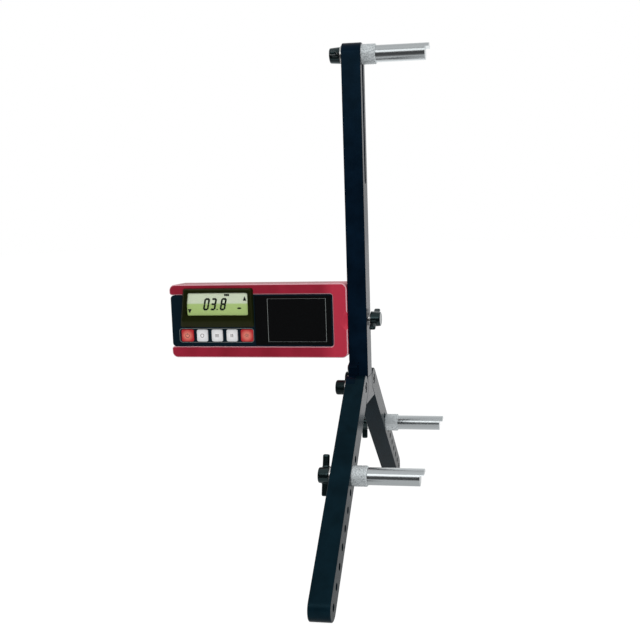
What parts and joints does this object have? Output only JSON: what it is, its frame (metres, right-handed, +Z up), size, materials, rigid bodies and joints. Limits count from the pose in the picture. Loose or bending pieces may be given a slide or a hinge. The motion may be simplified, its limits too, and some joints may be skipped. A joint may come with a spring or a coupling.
{
  "type": "digital camber gauge",
  "caption": "Wheel alignment gauge: slotted bar and two folding legs with stepped rim posts, and a digital level clamped behind the bar.",
  "frame": {"origin": "axis of the top post, at the step that seats on the wheel rim", "axes": "+X along the posts towards the wheel, +Z up along the bar, and the level's display faces -Y"},
  "size_m": [0.2697, 0.407, 0.4935],
  "materials": {
    "black_anodised": "satin black anodised, fine drawn grain along the bars",
    "turned_aluminium": "satin turned aluminium",
    "steel": "bright zinc plated",
    "black_oxide": "black oxide",
    "insert_steel": "turned steel",
    "knob_black": "glossy black moulded",
    "red_anodised": "satin red anodised",
    "case_black": "fine-grained black moulded",
    "label_black": "glossy black",
    "hood_green": "semi-gloss black moulded",
    "window_clear": "clear gloss",
    "lcd_grey": "grey-green display",
    "button_red": "soft red",
    "button_white": "soft white",
    "board_green": "green solder mask",
    "parts_black": "black moulded",
    "sensor_metal": "bare can",
    "battery_wrap": "plain dark wrap",
    "strip_rubber": "conductive strip"
  },
  "bodies": {
    "frame": {"upper_bar": "black_anodised", "hub_plate": "black_anodised", "hub_screws": "steel", "right_pivot_bolt": "black_oxide", "left_pivot_bolt": "black_oxide", "right_hub_washer": "steel", "left_hub_washer": "steel", "level_washer": "steel"},
    "top_slider": {"top_washer": "steel"},
    "top_post_turn": {"top_post": "turned_aluminium", "top_stud": "steel"},
    "top_knob": {"top_wing_knob": "knob_black", "top_insert": "insert_steel"},
    "right_leg_fold": {"right_leg": "black_anodised", "right_washer": "steel"},
    "right_post_turn": {"right_post": "turned_aluminium", "right_stud": "steel"},
    "right_knob": {"right_wing_knob": "knob_black", "right_insert": "insert_steel"},
    "right_hub_clamp": {"right_hub_knob": "knob_black", "right_hub_insert": "insert_steel"},
    "left_leg_fold": {"left_leg": "black_anodised", "left_washer": "steel"},
    "left_post_turn": {"left_post": "turned_aluminium", "left_stud": "steel"},
    "left_knob": {"left_wing_knob": "knob_black", "left_insert": "insert_steel"},
    "left_hub_clamp": {"left_hub_knob": "knob_black", "left_hub_insert": "insert_steel"},
    "level": {"level_frame": "red_anodised", "level_case": "case_black", "back_cover": "case_black", "lcd_bezel": "hood_green", "lcd_window": "window_clear", "lcd_panel": "lcd_grey", "button_switches": "parts_black", "circuit_board": "board_green", "tilt_sensor": "sensor_metal", "beeper": "parts_black", "battery": "battery_wrap", "battery_clip": "parts_black", "lcd_strip": "strip_rubber", "label_plate": "label_black", "case_screws": "black_oxide", "level_stud": "steel"},
    "level_knob": {"level_wing_knob": "knob_black", "level_insert": "insert_steel"},
    "power_button": {"power_button": "button_red"},
    "zero_button": {"zero_button": "button_white"},
    "mode_button": {"mode_button": "button_white"},
    "hold_button": {"hold_button": "button_white"},
    "light_button": {"light_button": "button_red"},
    "battery_door": {"battery_door": "case_black"}
  },
  "joints": [
    {"name": "top_post_slide", "type": "slide", "parent": "frame", "child": "top_slider", "axis": [0, 0, 1], "range_m": [-0.12, 0]},
    {"name": "top_post_spin", "type": "hinge", "parent": "top_slider", "child": "top_post_turn", "pos_m": [-0.08075, 0, 0], "axis": [1, 0, 0], "continuous": true},
    {"name": "top_knob_spin", "type": "hinge", "parent": "top_post_turn", "child": "top_knob", "pos_m": [-0.08075, 0, 0], "axis": [1, 0, 0], "continuous": true},
    {"name": "right_leg_hinge", "type": "hinge", "parent": "frame", "child": "right_leg_fold", "pos_m": [-0.08075, -0.02315, -0.32455], "axis": [-1, 0, 0], "range_deg": [0, 105]},
    {"name": "right_post_spin", "type": "hinge", "parent": "right_leg_fold", "child": "right_post_turn", "pos_m": [-0.08075, -0.09932, -0.39053], "axis": [1, 0, 0], "continuous": true},
    {"name": "right_knob_spin", "type": "hinge", "parent": "right_post_turn", "child": "right_knob", "pos_m": [-0.08075, -0.09932, -0.39053], "axis": [1, 0, 0], "continuous": true},
    {"name": "right_hub_knob_spin", "type": "hinge", "parent": "frame", "child": "right_hub_clamp", "pos_m": [-0.08075, -0.02315, -0.32455], "axis": [1, 0, 0], "continuous": true},
    {"name": "left_leg_hinge", "type": "hinge", "parent": "frame", "child": "left_leg_fold", "pos_m": [-0.08075, 0.02315, -0.32455], "axis": [1, 0, 0], "range_deg": [0, 105]},
    {"name": "left_post_spin", "type": "hinge", "parent": "left_leg_fold", "child": "left_post_turn", "pos_m": [-0.08075, 0.09932, -0.39053], "axis": [1, 0, 0], "continuous": true},
    {"name": "left_knob_spin", "type": "hinge", "parent": "left_post_turn", "child": "left_knob", "pos_m": [-0.08075, 0.09932, -0.39053], "axis": [1, 0, 0], "continuous": true},
    {"name": "left_hub_knob_spin", "type": "hinge", "parent": "frame", "child": "left_hub_clamp", "pos_m": [-0.08075, 0.02315, -0.32455], "axis": [1, 0, 0], "continuous": true},
    {"name": "level_turn", "type": "hinge", "parent": "frame", "child": "level", "pos_m": [-0.08075, 0, -0.25875], "axis": [1, 0, 0], "continuous": true},
    {"name": "level_knob_spin", "type": "hinge", "parent": "level", "child": "level_knob", "pos_m": [-0.08075, 0, -0.25875], "axis": [1, 0, 0], "continuous": true},
    {"name": "power_button_press", "type": "slide", "parent": "level", "child": "power_button", "axis": [0, 1, 0], "range_m": [0, 0.0008], "stiffness_N_per_m": 500, "springref_m": -0.001},
    {"name": "zero_button_press", "type": "slide", "parent": "level", "child": "zero_button", "axis": [0, 1, 0], "range_m": [0, 0.0008], "stiffness_N_per_m": 500, "springref_m": -0.001},
    {"name": "mode_button_press", "type": "slide", "parent": "level", "child": "mode_button", "axis": [0, 1, 0], "range_m": [0, 0.0008], "stiffness_N_per_m": 500, "springref_m": -0.001},
    {"name": "hold_button_press", "type": "slide", "parent": "level", "child": "hold_button", "axis": [0, 1, 0], "range_m": [0, 0.0008], "stiffness_N_per_m": 500, "springref_m": -0.001},
    {"name": "light_button_press", "type": "slide", "parent": "level", "child": "light_button", "axis": [0, 1, 0], "range_m": [0, 0.0008], "stiffness_N_per_m": 500, "springref_m": -0.001},
    {"name": "battery_door_slide", "type": "slide", "parent": "level", "child": "battery_door", "axis": [-1, 0, 0], "range_m": [0, 0.03]}
  ]
}
